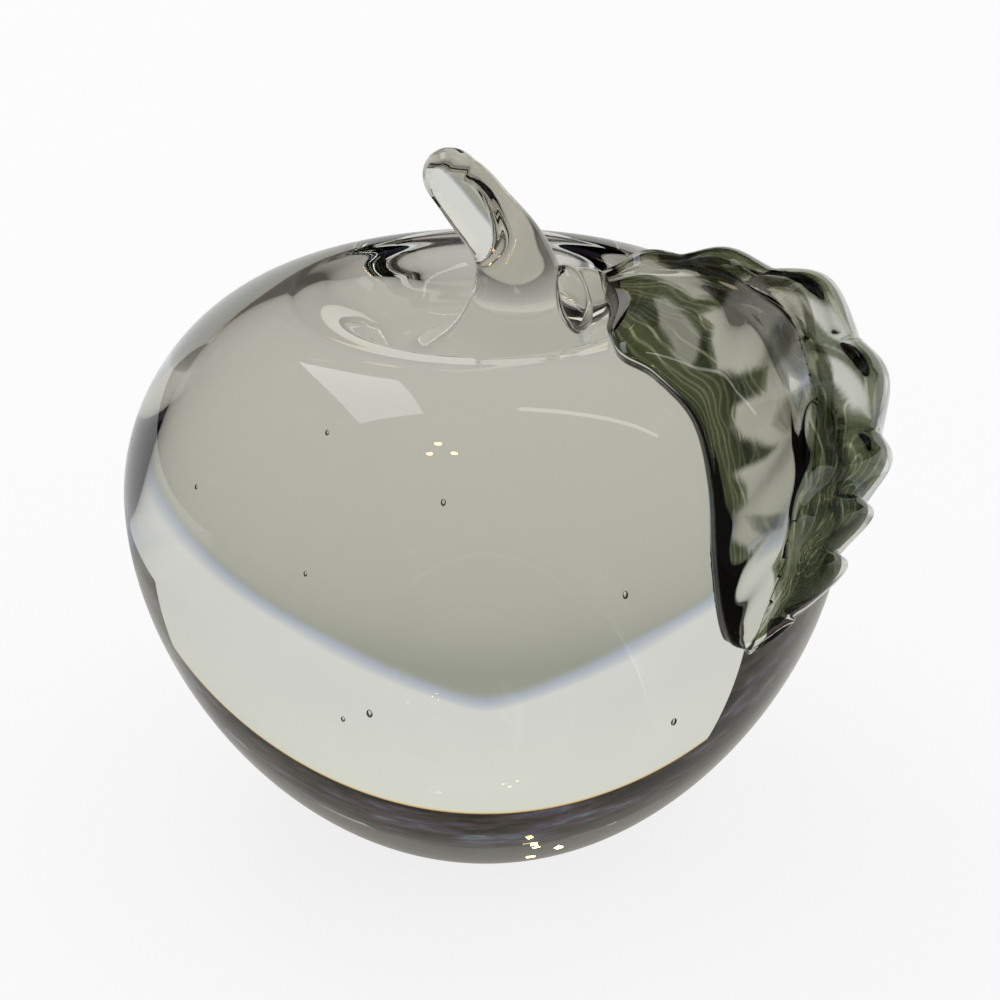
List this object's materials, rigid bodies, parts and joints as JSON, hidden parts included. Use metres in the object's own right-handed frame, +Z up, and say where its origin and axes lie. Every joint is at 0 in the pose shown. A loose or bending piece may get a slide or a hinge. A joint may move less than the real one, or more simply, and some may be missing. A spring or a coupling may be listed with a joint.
{
  "type": "art glass apple paperweight",
  "caption": "Solid clear glass apple with a curved stem, a short stalk and a thick ribbed green leaf cased in clear glass over one shoulder.",
  "frame": {"origin": "centre of the flat ground base, on the surface the apple rests on", "axes": "+Z up along the apple's turning axis; the leaf lies over the +X shoulder, its tip turned to -Y; the stem leans to -X"},
  "size_m": [0.1253, 0.12, 0.1185],
  "materials": {
    "clear_glass": "fire polished",
    "green_glass": "streaked olive green"
  },
  "bodies": {
    "root": {"apple_body": "clear_glass", "stem": "clear_glass", "leaf_stalk": "clear_glass", "leaf_casing": "clear_glass", "leaf_core": "green_glass"}
  },
  "joints": []
}
